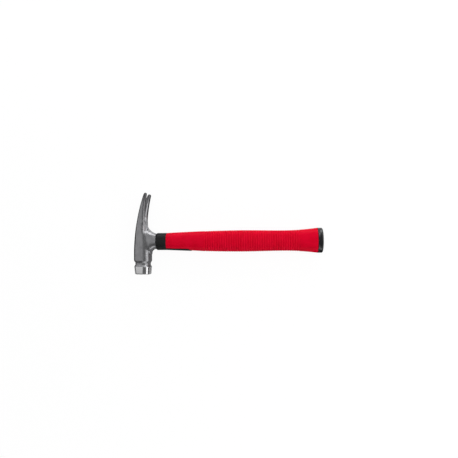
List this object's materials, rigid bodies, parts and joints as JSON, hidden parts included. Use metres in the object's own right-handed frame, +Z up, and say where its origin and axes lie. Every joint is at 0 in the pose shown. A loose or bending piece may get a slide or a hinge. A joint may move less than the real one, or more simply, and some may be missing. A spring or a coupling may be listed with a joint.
{
  "type": "electrician hammer",
  "caption": "Slim electrician's hammer: forged straight-claw head with a waisted square poll, bonded to a fibre core, with a black collar and guard, a ribbed red grip and a flared end cap.",
  "frame": {"origin": "centre of the bounding box's underside, on the surface that the hammer lies on", "axes": "+X along the handle, from the head to the end cap; +Y from the striking face to the claw; +Z up, square to the head's cheeks"},
  "size_m": [0.3, 0.1294, 0.028],
  "materials": {
    "forged_steel": "satin, with a polished poll",
    "glass_fibre": "matte",
    "cast_resin": "satin",
    "hard_black": "satin",
    "soft_red": "satin",
    "cap_black": "satin"
  },
  "bodies": {
    "root": {"hammer_head": "forged_steel", "handle_core": "glass_fibre", "eye_bond": "cast_resin", "core_jacket": "hard_black", "soft_grip": "soft_red", "end_cap": "cap_black"}
  },
  "joints": []
}
